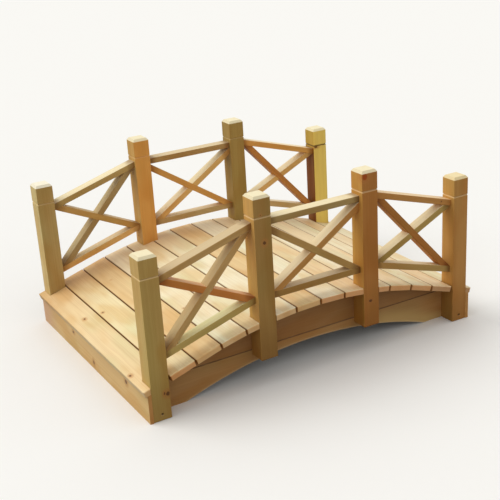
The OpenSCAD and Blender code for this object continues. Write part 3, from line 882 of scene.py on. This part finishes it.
def joint_marks(node, low, high):
    """A touch with dirt and painted shade on a rail or brace over the last centimetres before its posts.
    """
    def touch(w, colour):
        place = w.node("ShaderNodeTexCoord").outputs["Object"]
        x = w.split(place)["X"]
        inward = w.math("MINIMUM", w.math("SUBTRACT", x, low.x), w.math("SUBTRACT", high.x, x))
        ragged = w.math("MULTIPLY", w.noise(place, JOINT_CELLS, 2.0), JOINT_WANDER)
        reach = BRACE_JOINT_REACH if "brace" in node else RAIL_JOINT_REACH
        dirt_and_shade = w.step(w.math("SUBTRACT", inward, ragged), FULL_JOINT_DARKENING, reach,
                      LIGHTER_JOINTS.get(node, JOINT_DIRT_AND_SHADE), 0.0)
        return w.mix(dirt_and_shade, colour, shaded(w, colour, DIRT_AND_SHADE_FACTORS))
    return touch


class BRIDGE_OT_railings(bpy.types.Operator):
    """Finish the handrails, bottom rails and braces"""
    bl_idname = "bridge.dress_railings"
    bl_label = "Railings"

    def execute(self, context):
        wood = settings().wood
        seed = RAILING_SEED
        for row in ("front", "back"):
            for bay in range(3):
                slope = (1 - bay) * RAIL_SLOPE
                for kind, woods in (("handrail", HANDRAIL_WOODS), ("bottom_rail", BOTTOM_RAIL_WOODS)):
                    node = f"{row}_{kind}_{bay + 1}"
                    low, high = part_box(node)
                    heart = (low + high) / 2 + RAIL_HEART
                    grain = (math.cos(slope), 0, math.sin(slope))
                    dress(node, timber_material(node, wood, woods[row][bay], grain, heart, seed,
                                                bleach_and_sheen=LESS_BLEACH_AND_SHEEN.get(node, BLEACH_AND_SHEEN),
                                                pale=OTHER_TOPS.get(node),
                                                touch=joint_marks(node, low, high)))
                    seed += 1
                for kind, woods, sign in (("rising", RISING_WOODS, 1), ("falling", FALLING_WOODS, -1)):
                    node = f"{row}_{kind}_brace_{bay + 1}"
                    low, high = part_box(node)
                    heart = (low + high) / 2 + BRACE_HEART
                    grain = (high.x - low.x, 0, sign * (high.z - low.z))
                    dress(node, timber_material(node, wood, woods[row][bay], grain, heart, seed,
                                                bleach_and_sheen=LESS_BLEACH_AND_SHEEN.get(node, BLEACH_AND_SHEEN),
                                                touch=joint_marks(node, low, high)))
                    seed += 1
        return {"FINISHED"}


# The bolt heads' metal and rust, where and how finely the rust lies, and how metallic and rough
# each is
DULL_ZINC = paint(92, 82, 70)
RUST = paint(74, 38, 20)
RUST_CELLS = 260.0
RUSTED = (0.36, 0.56)
ZINC_METALLIC, RUST_METALLIC = 0.9, 0.1
ZINC_ROUGHNESS, RUST_ROUGHNESS = 0.45, 0.75
# The bevel of a bolt head, as a share of its height
BOLT_BEVEL = 0.2


def bolt_material():
    """Dull zinc that has gone dark and rusty in places."""
    material, w = new_material("weathered bolt")
    place = w.node("ShaderNodeTexCoord").outputs["Object"]
    rust = w.step(w.noise(place, RUST_CELLS, 3.0), *RUSTED)
    shader = w.node("ShaderNodeBsdfPrincipled")
    w.put(shader.inputs["Base Color"], w.mix(rust, DULL_ZINC, RUST))
    for label, zinc, rusty in (("Metallic", ZINC_METALLIC, RUST_METALLIC),
                               ("Roughness", ZINC_ROUGHNESS, RUST_ROUGHNESS)):
        w.put(shader.inputs[label], w.math("MULTIPLY_ADD", rust, rusty - zinc, zinc))
    w.put(w.node("ShaderNodeOutputMaterial").inputs["Surface"], shader.outputs["BSDF"])
    return material


def bolt_mesh(bolt, side):
    """A six-sided head with bevelled corners that stands in its hole, facing out on that side."""
    shape = bmesh.new()
    bmesh.ops.create_cone(shape, cap_ends=True, segments=6, radius1=bolt.width / math.sqrt(3),
                          radius2=bolt.width / math.sqrt(3), depth=bolt.height)
    top = [edge for edge in shape.edges if all(vert.co.z > 0 for vert in edge.verts)]
    bmesh.ops.bevel(shape, geom=top, offset=bolt.height * BOLT_BEVEL, segments=3, profile=0.5,
                    affect="EDGES", material=-1)
    bmesh.ops.rotate(shape, cent=(0, 0, 0), matrix=Matrix.Rotation(-side * math.pi / 2, 3, "X"),
                     verts=shape.verts)
    mesh = bpy.data.meshes.new("bolt head")
    shape.to_mesh(mesh)
    shape.free()
    return mesh


class BRIDGE_OT_bolts(bpy.types.Operator):
    """Make the bolt heads in the feet of the end posts"""
    bl_idname = "bridge.make_bolts"
    bl_label = "Bolts"

    def execute(self, context):
        bolt = settings().bolts
        metal = bolt_material()
        for row, side in (("front", -1), ("back", 1)):
            for number in (1, 4):
                low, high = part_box(f"{row}_post_{number}")
                outer = high.y if side > 0 else low.y
                floor_y = outer - side * (BOLT_HOLE_DEPTH - bolt.height / 2)
                mesh = bolt_mesh(bolt, side)
                mesh.transform(Matrix.Translation(((low.x + high.x) / 2, floor_y, BOLT_HEIGHT)))
                mesh.materials.append(metal)
                head = bpy.data.objects.new(f"{row}_bolt_head_{number}", mesh)
                context.scene.collection.objects.link(head)
                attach(head, "root")
        return {"FINISHED"}


# Where the sun's light goes, and the colours of the sun, the sky and the floor
SUN_DIRECTION = (0.55, -0.30, -0.78)
SUN_COLOUR = (1.0, 0.985, 0.95)
SKY_COLOUR = (1.0, 1.0, 0.98, 1.0)
WHITE = (1.0, 1.0, 1.0, 1.0)
FLOOR_SEEN = paint(246, 245, 243)
FLOOR_AS_REFLECTOR = paint(84, 80, 80)
# The floor's half width in metres and the camera sensor's width in millimetres
FLOOR_HALF_WIDTH = 60
SENSOR_WIDTH = 36


def soft_sun(strength, softness):
    """A wide soft sun, from above, the left and a little behind the bridge."""
    light = bpy.data.lights.new("sun", "SUN")
    light.energy = strength
    light.angle = softness
    light.color = SUN_COLOUR
    lamp = bpy.data.objects.new("sun", light)
    bpy.context.scene.collection.objects.link(lamp)
    lamp.rotation_euler = Vector(SUN_DIRECTION).to_track_quat("-Z", "Y").to_euler()


def seen_rays(w):
    """1 where the background is seen straight, in a reflection or through glass, and otherwise 0."""
    path = w.node("ShaderNodeLightPath").outputs
    indirectly = w.math("MAXIMUM", path["Is Glossy Ray"], path["Is Transmission Ray"])
    return w.math("MAXIMUM", path["Is Camera Ray"], indirectly)


def floor_material():
    """Pale floor: seen as near white with the shadow on it, duller as a reflector of light."""
    material, w = new_material("pale floor")
    bright = w.node("ShaderNodeBsdfDiffuse", FLOOR_SEEN)
    dull = w.node("ShaderNodeBsdfDiffuse", FLOOR_AS_REFLECTOR)
    both = w.node("ShaderNodeMixShader", seen_rays(w), dull.outputs[0], bright.outputs[0])
    w.put(w.node("ShaderNodeOutputMaterial").inputs["Surface"], both.outputs[0])
    return material


def studio_world(strength):
    """White where it is seen, an even sky as a light."""
    world = bpy.data.worlds.new("studio")
    world.use_nodes = True
    tree = world.node_tree
    tree.nodes.clear()
    w = Wiring(tree)
    sky = w.node("ShaderNodeBackground", SKY_COLOUR, strength)
    white = w.node("ShaderNodeBackground", WHITE, 1.0)
    mixed = w.node("ShaderNodeMixShader", seen_rays(w), sky.outputs[0], white.outputs[0])
    w.put(w.node("ShaderNodeOutputWorld").inputs["Surface"], mixed.outputs[0])
    bpy.context.scene.world = world


class BRIDGE_OT_stage(bpy.types.Operator):
    """Set up the floor, the light and the camera"""
    bl_idname = "bridge.set_stage"
    bl_label = "Stage"

    def execute(self, context):
        stage = settings().stage
        shape = bmesh.new()
        bmesh.ops.create_grid(shape, x_segments=1, y_segments=1, size=FLOOR_HALF_WIDTH)
        mesh = bpy.data.meshes.new("floor")
        shape.to_mesh(mesh)
        shape.free()
        floor = bpy.data.objects.new("floor", mesh)
        context.scene.collection.objects.link(floor)
        mesh.materials.append(floor_material())

        soft_sun(stage.sun, stage.softness)
        studio_world(stage.sky)

        camera = bpy.data.objects.new("camera", bpy.data.cameras.new("camera"))
        context.scene.collection.objects.link(camera)
        turn = Matrix.Rotation(-stage.heading, 3, "Z") @ Matrix.Rotation(math.pi / 2 - stage.pitch, 3, "X")
        turn = turn @ Matrix.Rotation(-stage.roll, 3, "Z")
        camera.matrix_world = Matrix.LocRotScale(Vector(stage.place), turn, None)
        camera.data.sensor_width = SENSOR_WIDTH
        camera.data.lens = stage.lens
        camera.data.shift_x = stage.shift
        context.scene.camera = camera
        context.scene.view_settings.view_transform = "Standard"
        return {"FINISHED"}


STEPS = (BRIDGE_OT_wood, BRIDGE_OT_posts, BRIDGE_OT_deck, BRIDGE_OT_stringers, BRIDGE_OT_railings,
         BRIDGE_OT_bolts, BRIDGE_OT_stage)


class BRIDGE_PT_panel(bpy.types.Panel):
    """Steps that finish the bridge"""
    bl_idname = "BRIDGE_PT_panel"
    bl_label = "Moon Bridge"
    bl_space_type = "VIEW_3D"
    bl_region_type = "UI"
    bl_category = "Bridge"

    def draw(self, context):
        for step in STEPS:
            self.layout.operator(step.bl_idname)


CLASSES = (BridgeWoodSettings, BridgeBoltSettings, BridgeStageSettings, BridgeSettings) + STEPS
CLASSES = CLASSES + (BRIDGE_PT_panel,)


def register():
    for each in CLASSES:
        bpy.utils.register_class(each)
    bpy.types.Scene.bridge = PointerProperty(type=BridgeSettings)


def unregister():
    del bpy.types.Scene.bridge
    for each in reversed(CLASSES):
        bpy.utils.unregister_class(each)


def main():
    register()
    bpy.ops.bridge.make_wood()
    bpy.ops.bridge.dress_posts()
    bpy.ops.bridge.dress_deck()
    bpy.ops.bridge.dress_stringers()
    bpy.ops.bridge.dress_railings()
    bpy.ops.bridge.make_bolts()
    bpy.ops.bridge.set_stage()


if __name__ == "__main__":
    main()
